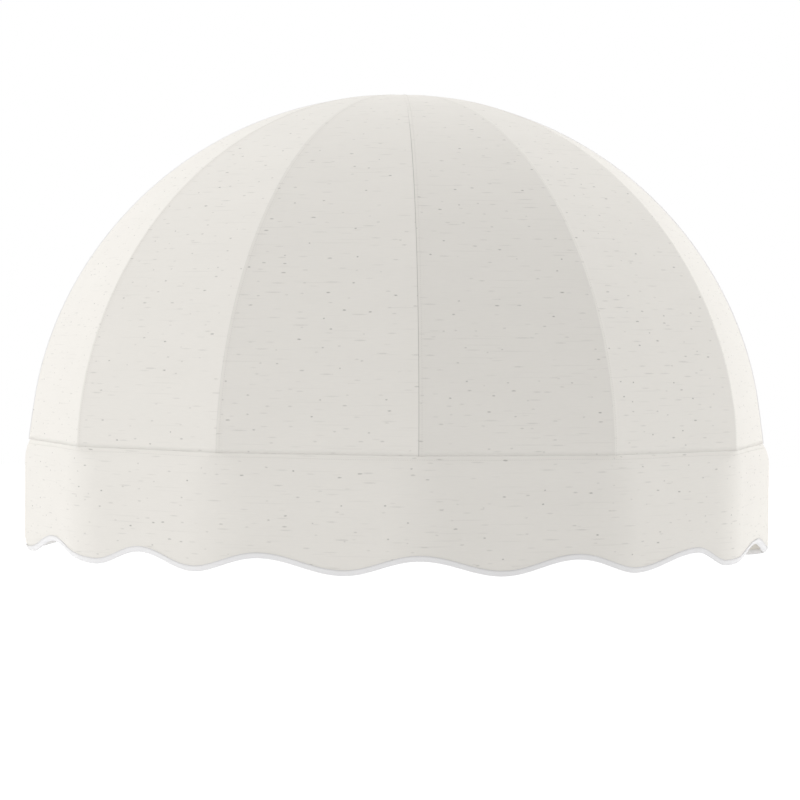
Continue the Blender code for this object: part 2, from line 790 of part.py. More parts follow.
BOW_CLEARANCE = solid_cutter("bow_clearance", BOW_PATH, TUBE_RADIUS + GAP)
build()
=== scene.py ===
"""The looks of the quarter-dome window awning: cloth, tape, thread, frame finishes, light and camera.

Metres, +Z up, in the frame of the solids: the wall is the plane Y = 0 and the origin is on the crown hub.
Cloth is worked out from the base seam up, and the frame gives that seam's height.
"""

import math

import bmesh
import bpy
from mathutils import Matrix, Vector


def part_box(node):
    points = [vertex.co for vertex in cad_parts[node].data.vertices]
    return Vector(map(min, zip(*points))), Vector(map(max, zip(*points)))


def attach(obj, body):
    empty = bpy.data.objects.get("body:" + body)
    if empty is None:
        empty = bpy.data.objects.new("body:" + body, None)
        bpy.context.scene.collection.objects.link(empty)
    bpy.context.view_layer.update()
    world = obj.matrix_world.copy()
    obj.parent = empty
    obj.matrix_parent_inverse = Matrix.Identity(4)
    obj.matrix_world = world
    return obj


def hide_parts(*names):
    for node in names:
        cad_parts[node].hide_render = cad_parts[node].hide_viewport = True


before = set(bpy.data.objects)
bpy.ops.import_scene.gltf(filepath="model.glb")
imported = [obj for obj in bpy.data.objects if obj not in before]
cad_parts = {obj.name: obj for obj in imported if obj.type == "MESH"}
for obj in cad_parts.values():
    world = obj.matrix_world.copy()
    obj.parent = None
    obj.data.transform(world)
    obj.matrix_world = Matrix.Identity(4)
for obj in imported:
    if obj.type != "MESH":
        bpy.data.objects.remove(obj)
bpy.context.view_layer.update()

# Driving dimensions of the dome, as the solids have them
HALF_WIDTH = 0.6096
PROJECTION = 0.6096
DOME_RISE = 0.5752
REACH_POWER = 2.037
RISE_POWER = 1.885
INNER_RIB_ANGLE = math.radians(29.5)
OUTER_RIB_ANGLE = math.radians(58.2)
FABRIC = 0.0012
WALL_EDGE_Y = -0.0046
TIP_REACH = 0.0197
BASE_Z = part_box("gore_left_inner")[0][2]

# Lap seams between the gores, and the crease beside each: its depth, how wide the painted shade beside it
# spreads on the cloth, how dark that painted shade is at each seam and between which turns it fades towards
# the crown
LAP_WIDTH = 0.0078
LAP_HEIGHT = 0.00026
LAP_STITCH = 0.0049
LAP_EDGE = 0.0007
LAP_SHARE = 0.3
CREASE_DEPTH = 0.00025
CREASE_REACH = 0.0008
CREASE_FADE = (1.0, 1.25)
PAINTED_CREASE_SHADES = {
    "left_outer": 0.0,
    "left_inner": 0.14,
    "centre": 0.45,
    "right_inner": 0.0,
    "right_outer": 0.0,
}
# Painted shade in a thin line along the valance's top, just under the base seam
PAINTED_BASE_CREASE_SHADE = 0.03

# The cloth's lower corners stand out a little where the valance pulls on them
FLARE = 0.004
FLARE_HEIGHT = 0.07

# Valance: a bulge, and at each end a tuck that starts at a share of the depth and a sag with its length
VALANCE_DROP = 0.1689
SCALLOP_RISE = 0.0118
FRONT_BULGE = 0.0012
LEFT_BULGE = 0.0072
RIGHT_BULGE = 0.0108
LEFT_TUCK = (0.84, 0.0068)
RIGHT_TUCK = (0.92, 0.0068)
LEFT_SAG = (0.005, 0.12)
RIGHT_SAG = (0.0065, 0.35)
VALANCE_CORNER = 0.055
TOP_CORNER_SHARE = 0.15
SETTLE_SHARE = 0.27
BULGE_SETTLING = 4
CORNER_SETTLING = 3
RETURN_WIDTH = 0.044
RETURN_Y = -0.0015
RETURN_TOP_DROP = 0.016
FOLD_RADIUS = 0.006
EDGE_CLEARANCE = 0.0015

# Levels just under the base seam: a share of the depth, and how far the cloth lifts there
SEAM_LEVELS = [(0.0, 0.0), (0.004, 0.0), (0.009, 0.0002), (0.02, 0.0)]

# Distances from the middle of the front at which the scalloped edge has turned by one more half scallop
SCALLOP_TURNS_LEFT = (0.0, 0.1163, 0.2461, 0.3583, 0.4716, 0.5705, 0.7519, 0.915, 1.06)
SCALLOP_TURNS_RIGHT = (0.0, 0.1307, 0.2514, 0.3606, 0.5100, 0.5880, 0.8266, 0.975, 1.09)

# Binding tape
TAPE_HEIGHT = 0.009
TAPE_THICKNESS = 0.0007
TAPE_CONTACT = 0.00005
TAPE_ROUNDING = 0.6
TAPE_STITCH_DROP = 0.0016
TAPE_STITCH_DENT = 0.00012

# Thread
STITCH_LENGTH = 0.0026
STITCH_PITCH = 0.0036
STITCH_SHOWING = 0.9
STITCH_TIP_REACH = 0.05
THREAD_RADIUS = 0.00028
SEAM_STITCH_DROP = 0.0062

# Piping and frame tubes
PIPING_RADIUS = 0.002
PIPING_PROUD = 0.0006
PIPING_Y = -0.0023
TUBE_RADIUS = 0.0111
TUBE_WALL = 0.0016
TUBE_CLEARANCE = 0.0006
TUBE_INSET = TUBE_RADIUS + TUBE_CLEARANCE + FABRIC
BOW_Y = -0.0147
HOOP_BEND_RADIUS = 0.06
PLATE = 0.003
GAP = 0.0003
RIB_TOP_REACH = 0.071
COLLAR_TOP = 0.0151
COLLAR_ROOM = 0.002

# Divisions
DOME_ROWS = 110
GORE_COLUMNS = 12
VALANCE_STEP = 0.0045
VALANCE_ROWS = 36
TUBE_STATIONS = 72
TUBE_SIDES = 28
PIPING_SIDES = 12
BEND_STEPS = 12
FOLD_STEPS = 6
BEAD_SEGMENTS = 6
BEAD_RINGS = 5
FINE_STEPS = 4000
SLOPE_STEP = 1e-4
WELD_DISTANCE = 1e-6

# The cut cloth's pattern: how far apart the pieces lie on it, and how long a gore's last bit at the crown is
GORE_SHIFT = 0.73
VALANCE_SHIFT = 9.0
TIP_CUT = 0.012

# Camera, from the photograph
LENS = 145.15
SENSOR = 36.0
CAMERA_PLACE = (-0.2711, -5.3717, -0.3176)
CAMERA_YAW = 0.05091
CAMERA_PITCH = -0.02375
CAMERA_ROLL = 0.00828

# Light: each panel's turn from the front and its height in degrees, and how bright it makes a surface that
# faces it
AMBIENT = 0.705
PANEL_DISTANCE = 4.0
PANEL_SIDE = 2.4
PANELS = {
    "left_back_panel": (-122, 12, 0.23),
    "left_front_panel": (-60, 5, 0.132),
    "right_back_panel": (122, 12, 0.282),
    "right_side_panel": (95, 0, 0.089),
    "top_panel": (185, 62, 0.19),
}
FLOOR_Z = -1.9
FLOOR_SIDE = 60.0
FLOOR_GLOW = 0.62

# Colours as they look in plain light
CANVAS_COLOUR = (0.895, 0.868, 0.817)
SLUB_COLOUR = (0.40, 0.385, 0.36)
TAPE_COLOUR = (0.95, 0.945, 0.95)
THREAD_COLOUR = (0.70, 0.68, 0.64)
COATING_COLOUR = (0.78, 0.78, 0.76)
CASTING_COLOUR = (0.62, 0.63, 0.64)
FLOOR_COLOUR = (0.85, 0.85, 0.85)
WHITE = (1.0, 1.0, 1.0)

# Slubs in the weft: the cell of cloth that holds one at most, its least and most half length, its half
# height, the share of cells that have one, a shift of the pattern, and how dark it is
SLUBS = [
    ((0.036, 0.026), (0.0019, 0.0050), 0.0014, 0.6, 3.7, 0.8),
    ((0.046, 0.018), (0.004, 0.016), 0.0013, 0.7, 11.3, 0.3),
    ((0.14, 0.010), (0.02, 0.06), 0.0011, 0.7, 23.9, 0.1),
]
SLUB_PATCHES = (7.0, 12.0)
SLUB_SPARSE = 0.2
SLUB_CROWDING = 1.6
SLUB_FUZZ = (420.0, 800.0)
SLUB_FUZZINESS = 0.9
SLUB_FADE = (0.25, 1.1)
SLUB_PALEST = 0.25

# Weave of the canvas and the tape, with the painted shadow line along the tape's upper edge
WARP_PITCH = 0.0009
WEFT_PITCH = 0.0011
TWILL_PITCH = 0.0013
TAPE_RIB_PITCH = 0.0021
TAPE_SHADOW_START = (0.0002, 0.0008)
TAPE_SHADOW_END = (0.0010, 0.0022)
TAPE_EDGE_PAINTED_SHADOW = 0.26
WEAVE_RELIEF = 0.00012

WALL_ANGLE = math.pi / 2
RIB_ANGLES = {
    "left_outer": -OUTER_RIB_ANGLE,
    "left_inner": -INNER_RIB_ANGLE,
    "centre": 0.0,
    "right_inner": INNER_RIB_ANGLE,
    "right_outer": OUTER_RIB_ANGLE,
}
SEAM_ANGLES = [-WALL_ANGLE, *RIB_ANGLES.values(), WALL_ANGLE]
GORE_NAMES = ["left_outer", "left_middle", "left_inner", "right_inner", "right_middle", "right_outer"]


# Node graphs written as sums


class Wire:
    """The value on a node's socket; a sum on it adds its Math node."""

    def __init__(self, graph, socket):
        self.graph = graph
        self.socket = socket

    def __add__(self, other):
        return self.graph.maths("ADD", self, other)

    __radd__ = __add__

    def __mul__(self, other):
        return self.graph.maths("MULTIPLY", self, other)

    __rmul__ = __mul__

    def __sub__(self, other):
        return self.graph.maths("SUBTRACT", self, other)

    def __rsub__(self, other):
        return self.graph.maths("SUBTRACT", other, self)

    def __truediv__(self, other):
        return self.graph.maths("DIVIDE", self, other)

    def __lt__(self, other):
        return self.graph.maths("LESS_THAN", self, other)


class Graph:
    """The nodes of a material, a world or a path tree."""

    def __init__(self, tree):
        self.tree = tree

    def feed(self, socket, value):
        if isinstance(value, Wire):
            self.tree.links.new(value.socket, socket)
        else:
            socket.default_value = value

    def node(self, kind, settings=None, inputs=None):
        """A node of any kind: its settings first, then the values or links of its sockets."""
        item = self.tree.nodes.new(kind)
        for name, value in (settings or {}).items():
            setattr(item, name, value)
        for name, value in (inputs or {}).items():
            self.feed(item.inputs[name], value)
        return item

    def out(self, item, name=0):
        return Wire(self, item.outputs[name])

    def maths(self, operation, *values):
        return self.out(self.node("ShaderNodeMath", {"operation": operation}, dict(enumerate(values))))

    def join(self, x, y, z=0.0):
        return self.out(self.node("ShaderNodeCombineXYZ", None, {"X": x, "Y": y, "Z": z}))


class Finish(Graph):
    """A material with the nodes that its look is made from."""

    def __init__(self, name, roughness, metallic=0.0, sheen=0.0, coat=0.0):
        self.material = bpy.data.materials.new(name)
        self.material.use_nodes = True
        super().__init__(self.material.node_tree)
        self.shader = self.tree.nodes["Principled BSDF"]
        self.shader.inputs["Roughness"].default_value = roughness
        self.shader.inputs["Metallic"].default_value = metallic
        self.shader.inputs["Sheen Weight"].default_value = sheen
        self.shader.inputs["Coat Weight"].default_value = coat

    def ramp(self, value, low, high):
        """0 below low and 1 above high, with a soft step between."""
        inputs = {"Value": value, "From Min": low, "From Max": high}
        item = self.node("ShaderNodeMapRange", {"interpolation_type": "SMOOTHSTEP"}, inputs)
        return self.out(item, "Result")

    def noise(self, vector, scale, detail=2.0):
        inputs = {"Vector": vector, "Scale": scale, "Detail": detail}
        return self.out(self.node("ShaderNodeTexNoise", None, inputs), "Fac")

    def split(self, vector):
        item = self.node("ShaderNodeSeparateXYZ", None, {"Vector": vector})
        return [self.out(item, name) for name in "XYZ"]

    def uv(self, name):
        return self.out(self.node("ShaderNodeUVMap", {"uv_map": name}), "UV")

    def object_place(self):
        return self.out(self.node("ShaderNodeTexCoord"), "Object")

    def blend(self, share, first, second):
        """One colour turning into another."""
        item = self.node("ShaderNodeMix", {"data_type": "RGBA"})
        self.feed(item.inputs["Factor"], share)
        self.feed(item.inputs["A"], solid_colour(first))
        self.feed(item.inputs["B"], solid_colour(second))
        return self.out(item, "Result")

    def shaded(self, colour, share):
        """A colour made lighter or darker."""
        inputs = {0: colour, "Scale": share}
        return self.out(self.node("ShaderNodeVectorMath", {"operation": "SCALE"}, inputs), "Vector")

    def bump(self, height, distance):
        inputs = {"Height": height, "Distance": distance, "Strength": 1.0}
        self.feed(self.shader.inputs["Normal"], self.out(self.node("ShaderNodeBump", None, inputs), "Normal"))

    def colour(self, value):
        self.feed(self.shader.inputs["Base Color"], value)


def solid_colour(value):
    return (*value, 1.0)


def slub(finish, u, v, cell, half_length, half_height, presence, shift):
    """Scattered marks that run along the weft: one at most in each cell of the cloth, with its own length."""
    place = finish.join(u / cell[0] + shift, v / cell[1])
    cells = finish.node(
        "ShaderNodeTexVoronoi",
        {"voronoi_dimensions": "2D", "feature": "F1"},
        {"Vector": place, "Scale": 1.0, "Randomness": 1.0},
    )
    chance, length, depth = finish.split(finish.out(cells, "Color"))
    patches = finish.noise(finish.join(u * SLUB_PATCHES[0], v * SLUB_PATCHES[1] + shift), 1.0, 1.0)
    here = finish.split(place)
    middle = finish.split(finish.out(cells, "Position"))
    half = half_length[0] + length * (half_length[1] - half_length[0])
    along = (here[0] - middle[0]) * cell[0] / half
    across = (here[1] - middle[1]) * (cell[1] / half_height)
    fuzz = finish.noise(finish.join(u * SLUB_FUZZ[0], v * SLUB_FUZZ[1]), 1.0, 2.0)
    far = finish.maths("SQRT", along * along + across * across) + (fuzz - 0.5) * SLUB_FUZZINESS
    mark = 1.0 - finish.ramp(far, *SLUB_FADE)
    present = chance < presence * (SLUB_SPARSE + patches * SLUB_CROWDING)
    return mark * present * (SLUB_PALEST + depth * depth * (1 - SLUB_PALEST))


def canvas_finish():
    """Off-white canvas with darker slubs along the weft, and painted shade beside its seams."""
    finish = Finish("slub_canvas", roughness=0.88, sheen=0.12)
    finish.shader.inputs["Sheen Roughness"].default_value = 0.6
    finish.shader.inputs["Specular IOR Level"].default_value = 0.25
    u, v, _ = finish.split(finish.uv("cut"))
    to_seam, painted_crease_strength, _ = finish.split(finish.uv("seam"))
    marks = [slub(finish, u, v, *sizes) * darkness for *sizes, darkness in SLUBS]
    mark = finish.maths("MAXIMUM", finish.maths("MAXIMUM", marks[0], marks[1]), marks[2])
    cloud = finish.noise(finish.join(u, v * 2.2), 9.0, 3.0)
    thread = finish.noise(finish.join(u * 40.0, v * 900.0), 1.0, 1.0)
    weave = finish.noise(finish.join(u * 70.0, v * 480.0), 1.0, 2.0)
    tone = finish.blend(mark, CANVAS_COLOUR, SLUB_COLOUR)
    shade = 1.0 - (cloud - 0.5) * 0.04 - (thread - 0.5) * 0.03 - (weave - 0.5) * 0.035
    # Painted shade: the cloth's colour is darkened beside each seam's crease and under the base seam
    painted_crease_mask = 1.0 - finish.ramp(to_seam, 0.0, CREASE_REACH)
    finish.colour(finish.shaded(tone, shade * (1.0 - painted_crease_mask * painted_crease_strength)))
    warp = finish.maths("SINE", u * (2 * math.pi / WARP_PITCH))
    weft = finish.maths("SINE", v * (2 * math.pi / WEFT_PITCH))
    finish.bump(warp * weft * 0.25 + thread * 0.5 + mark * 0.8, WEAVE_RELIEF)
    return finish.material


def tape_finish():
    """Close-woven grey-white tape with fine ribs along its length and a painted shadow along its upper edge.
    """
    finish = Finish("woven_tape", roughness=0.8, sheen=0.25)
    finish.shader.inputs["Specular IOR Level"].default_value = 0.3
    run, up, _ = finish.split(finish.uv("cut"))
    twill = finish.maths("SINE", (run + up * 0.8) * (2 * math.pi / TWILL_PITCH))
    rib = finish.maths("SINE", up * (2 * math.pi / TAPE_RIB_PITCH))
    patch = finish.noise(finish.join(run, up), 60.0, 3.0)
    # Painted shadow: a dark line just under the fold at the tape's upper edge
    painted_edge_shadow = finish.ramp(up, *TAPE_SHADOW_START) * (1.0 - finish.ramp(up, *TAPE_SHADOW_END))
    shade = (1.0 - (patch - 0.5) * 0.06 + rib * 0.012) * (1.0 - painted_edge_shadow * TAPE_EDGE_PAINTED_SHADOW)
    finish.colour(finish.shaded(TAPE_COLOUR, shade))
    finish.bump(twill * 0.3 + rib * 0.7, WEAVE_RELIEF)
    return finish.material


def thread_finish():
    """Twisted sewing thread."""
    finish = Finish("sewing_thread", roughness=0.7, sheen=0.2)
    grain = finish.noise(finish.object_place(), 900.0, 2.0)
    finish.colour(finish.blend(grain, THREAD_COLOUR, tuple(1.12 * part for part in THREAD_COLOUR)))
    finish.bump(grain, 0.0001)
    return finish.material


def coating_finish():
    """Pale powder coat: a fine orange peel and slight clouding."""
    finish = Finish("powder_coat", roughness=0.42, coat=0.15)
    place = finish.object_place()
    peel = finish.noise(place, 700.0, 2.0)
    cloud = finish.noise(place, 14.0, 3.0)
    finish.colour(finish.blend(cloud, COATING_COLOUR, tuple(0.95 * part for part in COATING_COLOUR)))
    finish.feed(finish.shader.inputs["Roughness"], 0.36 + cloud * 0.14)
    finish.bump(peel, 0.00012)
    return finish.material


def casting_finish():
    """Die-cast aluminium: a fine sandy skin, rubbed brighter in places."""
    finish = Finish("cast_aluminium", roughness=0.4, metallic=1.0)
    place = finish.object_place()
    sand = finish.noise(place, 420.0, 3.0)
    rub = finish.noise(place, 35.0, 4.0)
    finish.colour(finish.blend(rub, CASTING_COLOUR, tuple(0.82 * part for part in CASTING_COLOUR)))
    finish.feed(finish.shader.inputs["Roughness"], 0.34 + sand * 0.2)
    finish.bump(sand, 0.00018)
    return finish.material


# The dome's form: seams on a superellipse, straight cloth between them


def plan_point(angle):
    return Vector((HALF_WIDTH * math.sin(angle), -PROJECTION * math.cos(angle), 0.0))


def reach(turn):
    return math.cos(turn) ** (2 / REACH_POWER)


def turn_at_reach(share):
    return math.acos(share ** (REACH_POWER / 2))


def seam_point(angle, turn):
    point = plan_point(angle) * reach(turn)
    point.z = DOME_RISE * math.sin(turn) ** (2 / RISE_POWER)
    return point


def cover_point(angle, turn):
    """A seam's place on the cloth, with the flare of its lower corners at the wall."""
    point = seam_point(angle, turn)
    if abs(angle) == WALL_ANGLE:
        point.x += math.copysign(FLARE * max(0.0, 1 - point.z / FLARE_HEIGHT) ** 2, angle)
    return point


def seam_direction(angle, turn):
    low = max(turn - SLOPE_STEP, 0.0)
    return (seam_point(angle, turn + SLOPE_STEP) - seam_point(angle, low)).normalized()


def gore_normal(left, right, turn):
    across = plan_point(right) - plan_point(left)
    return across.cross(seam_direction(left, turn)).normalized()


def neighbours(angle):
    place = SEAM_ANGLES.index(angle)
    return SEAM_ANGLES[place - 1], SEAM_ANGLES[place + 1]


def seam_normal(angle, turn):
    """The outward direction at a seam, half-way between the normals of the cloth beside it."""
    before, after = neighbours(angle)
    return (gore_normal(before, angle, turn) + gore_normal(angle, after, turn)).normalized()


def under_seam(angle, turn):
    before, after = neighbours(angle)
    one = gore_normal(before, angle, turn)
    two = gore_normal(angle, after, turn)
    return seam_point(angle, turn) - (one + two) * (TUBE_INSET / (1 + one.dot(two)))


def travelled(points):
    """How far along its path each point lies."""
    run = [0.0]
    for before, after in zip(points, points[1:]):
        run.append(run[-1] + (after - before).length)
    return run


def even_turns(last, count):
    """Turns that divide the centre seam into equal lengths."""
    fine = [last * step / FINE_STEPS for step in range(FINE_STEPS + 1)]
    run = travelled([seam_point(0.0, turn) for turn in fine])
    turns = []
    place = 0
    for step in range(count + 1):
        while place < FINE_STEPS and run[place] < run[-1] * step / count:
            place += 1
        turns.append(fine[place])
    return turns


# Meshes


def raised(points):
    """Points measured from the base seam, at their height in the solids' frame."""
    return [Vector((point.x, point.y, point.z + BASE_Z)) for point in points]


def grid_mesh(name, rows, charts):
    """A sheet through rows of points; charts gives each face corner's UV values by map name.

    A chart is a function of row and column, so that a seam's two sides can differ.
    """
    shape = bmesh.new()
    grid = [[shape.verts.new(point) for point in row] for row in rows]
    layers = {map_name: shape.loops.layers.uv.new(map_name) for map_name in charts}
    for low in range(len(grid) - 1):
        for left in range(len(grid[0]) - 1):
            corners = [(low, left), (low, left + 1), (low + 1, left + 1), (low + 1, left)]
            face = shape.faces.new([grid[row][column] for row, column in corners])
            face.smooth = True
            for loop, (row, column) in zip(face.loops, corners):
                for map_name, layer in layers.items():
                    loop[layer].uv = charts[map_name](row, column, left)
    data = bpy.data.meshes.new(name)
    shape.to_mesh(data)
    shape.free()
    return data


def add_piece(name, data, material, replaced=()):
    item = bpy.data.objects.new(name, data)
    bpy.context.scene.collection.objects.link(item)
    data.materials.clear()
    data.materials.append(material)
    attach(item, "root")
    if replaced:
        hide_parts(*replaced)
    return item


def baked(item):
    """Turn an object with its modifiers into a plain mesh."""
    bpy.context.view_layer.update()
    data = bpy.data.meshes.new_from_object(item.evaluated_get(bpy.context.evaluated_depsgraph_get()))
    item.modifiers.clear()
    return data


def thickened(name, data, thickness):
    """Give a sheet its thickness on the inner side."""
    count = len(data.polygons)
    guide = bpy.data.objects.new(name + "_guide", data)
    bpy.context.scene.collection.objects.link(guide)
    step = guide.modifiers.new("thickness", "SOLIDIFY")
    step.thickness = thickness
    step.offset = -1.0
    step.use_even_offset = True
    solid = baked(guide)
    bpy.data.objects.remove(guide, do_unlink=True)
    for face in solid.polygons[2 * count :]:
        face.use_smooth = False
    return solid


# The dome's cover


def gore_stations(width, first, last):
    """Crosswise places of one gore at a given width, with how far the cloth stands off there.

    The lap of a seam lies on the gore to its right, so every gore but the first carries one. A seam's own
    point is the last of the gore to its left.
    """
    lap = min(LAP_WIDTH, width * LAP_SHARE)
    edge = LAP_EDGE * lap / LAP_WIDTH
    lift = 0.0 if first else LAP_HEIGHT * lap / LAP_WIDTH
    stations = [(0.0, 0.0)] if first else []
    stations += [(edge, lift), (2 * edge, lift), (lap - edge, lift), (lap, lift), (lap + edge, 0.0)]
    start = lap + 2 * edge
    end = width - 3 * edge
    stations += [(start + (end - start) * step / GORE_COLUMNS, 0.0) for step in range(GORE_COLUMNS + 1)]
    stations += [(width - 1.2 * edge, 0.0), (width, 0.0 if last else -CREASE_DEPTH)]
    return stations


def dome_cover(material):
    """The six gores, sewn into one continuous cover."""
    turns = even_turns(turn_at_reach(TIP_REACH), DOME_ROWS)
    gores = list(zip(SEAM_ANGLES, SEAM_ANGLES[1:]))
    rows = []
    facts = []
    for turn in turns:
        row = []
        row_facts = []
        for place, (left, right) in enumerate(gores):
            first = place == 0
            last = place == len(gores) - 1
            start = cover_point(left, turn)
            end = cover_point(right, turn)
            across = (end - start).normalized()
            width = (end - start).length
            trim = -WALL_EDGE_Y / abs(across.y) if first or last else 0.0
            normal = gore_normal(left, right, turn)
            stations = gore_stations(width, first, last)
            for step, (run, lift) in enumerate(stations):
                out = normal
                if step == len(stations) - 1 and not last:
                    out = seam_normal(right, turn)
                if first:
                    run = trim + run * (width - trim) / width
                if last:
                    run = run * (width - trim) / width
                row.append(start + across * run + out * lift)
                row_facts.append((place, run, width))
        rows.append(row)
        facts.append(row_facts)
    seam_painted_shades = [0.0, *PAINTED_CREASE_SHADES.values(), 0.0]
    lengths = profile_lengths(turns, gores)
    apex = Vector((0.0, WALL_EDGE_Y, DOME_RISE))
    rows.append([apex for _ in rows[0]])
    facts.append(facts[-1])
    for run in lengths:
        run.append(run[-1] + TIP_CUT)

    def chart_facts(row, column, left):
        """A face corner's gore, run and width; a seam's point is also the start of the gore to its right."""
        place, run, width = facts[row][column]
        owner = facts[row][left + 1][0]
        if owner != place:
            return owner, 0.0, facts[row][left + 1][2]
        return place, run, width

    def cut(row, column, left):
        place, run, width = chart_facts(row, column, left)
        return (run - width / 2 + GORE_SHIFT * place, lengths[place][row])

    def seam(row, column, left):
        """How far the nearest seam is, and how dark the painted shade in its crease."""
        place, run, width = chart_facts(row, column, left)
        at_left = run < width / 2
        shade = seam_painted_shades[place] if at_left else seam_painted_shades[place + 1]
        turn = turns[min(row, len(turns) - 1)]
        fade = min(max((CREASE_FADE[1] - turn) / (CREASE_FADE[1] - CREASE_FADE[0]), 0.0), 1.0)
        return (run if at_left else width - run, shade * fade)

    data = grid_mesh("dome_cover", [raised(row) for row in rows], {"cut": cut, "seam": seam})
    shape = bmesh.new()
    shape.from_mesh(data)
    bmesh.ops.remove_doubles(shape, verts=shape.verts, dist=WELD_DISTANCE)
    shape.to_mesh(data)
    shape.free()
    nodes = ["gore_" + name for name in GORE_NAMES]
    return add_piece("dome_cover", thickened("dome_cover", data, FABRIC), material, nodes)


def profile_lengths(turns, gores):
    """How far up its flat cut each row of each gore lies."""
    lengths = []
    for left, right in gores:
        across = (plan_point(right) - plan_point(left)).normalized()
        run = [0.0]
        points = [seam_point(left, turn) for turn in turns]
        for before, after in zip(points, points[1:]):
            step = after - before
            run.append(run[-1] + (step - across * step.dot(across)).length)
        lengths.append(run)
    return lengths


# The valance


def corner_arc(before, corner, after, radius, steps):
    """The points of a bend that rounds one corner of a path."""
    inward = (before - corner).normalized()
    onward = (after - corner).normalized()
    half = inward.angle(onward) / 2
    middle = (inward + onward).normalized()
    centre = corner + middle * (radius / math.sin(half))
    start = corner + inward * (radius / math.tan(half)) - centre
    end = corner + onward * (radius / math.tan(half)) - centre
    axis = start.cross(end).normalized()
    sweep = start.angle(end)
    return [centre + Matrix.Rotation(sweep * step / steps, 3, axis) @ start for step in range(steps + 1)]


def outsets(share, lift=0.0):
    """How far the valance stands out at a share of its depth: at the left end, in front and at the right."""
    grown = settled(share, BULGE_SETTLING)
    ends = []
    for bulge, (start, tuck) in ((LEFT_BULGE, LEFT_TUCK), (RIGHT_BULGE, RIGHT_TUCK)):
        ends.append(bulge * grown - tuck * max(0.0, (share - start) / (1 - start)) ** 2 + lift)
    return ends[0], FRONT_BULGE * grown + lift, ends[1]


def offset_corners(outward):
    """The plan's corners moved outwards; the valance stands out most at the wall."""
    corners = []
    outset = outward[1]
    for angle in RIB_ANGLES.values():
        before, after = neighbours(angle)
        one = gore_normal(before, angle, 0.0)
        two = gore_normal(angle, after, 0.0)
        corners.append(plan_point(angle) + (one + two) * (outset / (1 + one.dot(two))))
    at_wall = []
    for side, outset in ((-1, outward[0]), (1, outward[2])):
        wall = cover_point(side * WALL_ANGLE, 0.0)
        normal = gore_normal(*sorted((side * WALL_ANGLE, side * OUTER_RIB_ANGLE)), 0.0)
        x = wall.x + (outset - normal.y * (RETURN_Y - wall.y)) / normal.x
        at_wall.append(Vector((x, RETURN_Y, 0.0)))
    return [at_wall[0], *corners, at_wall[1]]


def valance_route(corner_share, outward):
    """The valance seen from above, from one wall return round to the other; each route has as many points."""
    corners = offset_corners(outward)
    ends = [Vector((side * (HALF_WIDTH - RETURN_WIDTH), RETURN_Y, 0)) for side in (-1, 1)]
    route = [ends[0], *corners, ends[1]]
    points = [ends[0]]
    for place in range(1, len(route) - 1):
        before, corner, after = route[place - 1 : place + 2]
        half = (before - corner).angle(after - corner) / 2
        at_wall = place in (1, len(route) - 2)
        length = FOLD_RADIUS if at_wall else VALANCE_CORNER * corner_share
        arc = corner_arc(before, corner, after, length * math.tan(half), BEND_STEPS)
        points.extend(subdivide(points[-1], arc[0], RUN_STEPS[place - 1]))
        points.extend(arc)
    points.extend(subdivide(points[-1], ends[1], RUN_STEPS[-1]))
    points.append(ends[1])
    return points


def run_steps():
    corners = [plan_point(angle) for angle in SEAM_ANGLES]
    flats = []
    for before, after in zip(corners, corners[1:]):
        flats.append(max(round(((after - before).length - VALANCE_CORNER) / VALANCE_STEP), 1))
    ends = max(round(RETURN_WIDTH / VALANCE_STEP), 1)
    return [ends, *flats, ends]


RUN_STEPS = run_steps()
HALF_RUN = travelled([plan_point(angle) for angle in SEAM_ANGLES])[-1] / 2


def subdivide(start, end, steps):
    return [start.lerp(end, step / steps) for step in range(1, steps)]


def hanging_run():
    """The distance of each point along the valance, where it hangs free, from the middle of the front."""
    run = travelled(valance_route(1.0, outsets(SETTLE_SHARE)))
    return [length - run[-1] / 2 for length in run]


def half_scallops(run):
    """How many times the edge has turned between the middle of the front and a place along the valance."""
    turns = SCALLOP_TURNS_LEFT if run < 0 else SCALLOP_TURNS_RIGHT
    distance = min(abs(run), turns[-1])
    place = max(step for step in range(len(turns) - 1) if turns[step] <= distance)
    return place + (distance - turns[place]) / (turns[place + 1] - turns[place])


def scallop_depth(run):
    """How far the lower edge hangs below the seam; the ends have sagged a little."""
    most, length = LEFT_SAG if run < 0 else RIGHT_SAG
    sag = most * min(max(0.0, 1 - (HALF_RUN - abs(run)) / length), 1.0)
    return VALANCE_DROP + sag - SCALLOP_RISE * math.cos(math.pi * half_scallops(run))


def settled(share, power):
    """How far a row of the valance has settled from its seam: 0 at the top and 1 once it hangs free."""
    return 1 - (1 - min(share / SETTLE_SHARE, 1.0)) ** power


def valance_top(place, count):
    """How far below the base seam the cloth starts, lower on the returns."""
    on_return = RUN_STEPS[0] + BEND_STEPS
    from_end = min(place, count - 1 - place)
    if from_end > on_return:
        return 0.0
    return RETURN_TOP_DROP * min(1.0, (on_return + 1 - from_end) / BEND_STEPS * 2)


def valance_rows(levels):
    """The rows of the valance at levels given as a share of its depth and a lift, with its runs."""
    runs = hanging_run()
    count = len(runs)
    rows = []
    for share, lift in levels:
        corner = TOP_CORNER_SHARE + (1 - TOP_CORNER_SHARE) * settled(share, CORNER_SETTLING)
        route = valance_route(corner, outsets(share, lift))
        row = []
        for place, (point, run) in enumerate(zip(route, runs)):
            top = valance_top(place, count)
            depth = scallop_depth(run) - EDGE_CLEARANCE
            row.append(Vector((point.x, point.y, -(top + share * (depth - top)))))
        rows.append(row)
    return rows, runs


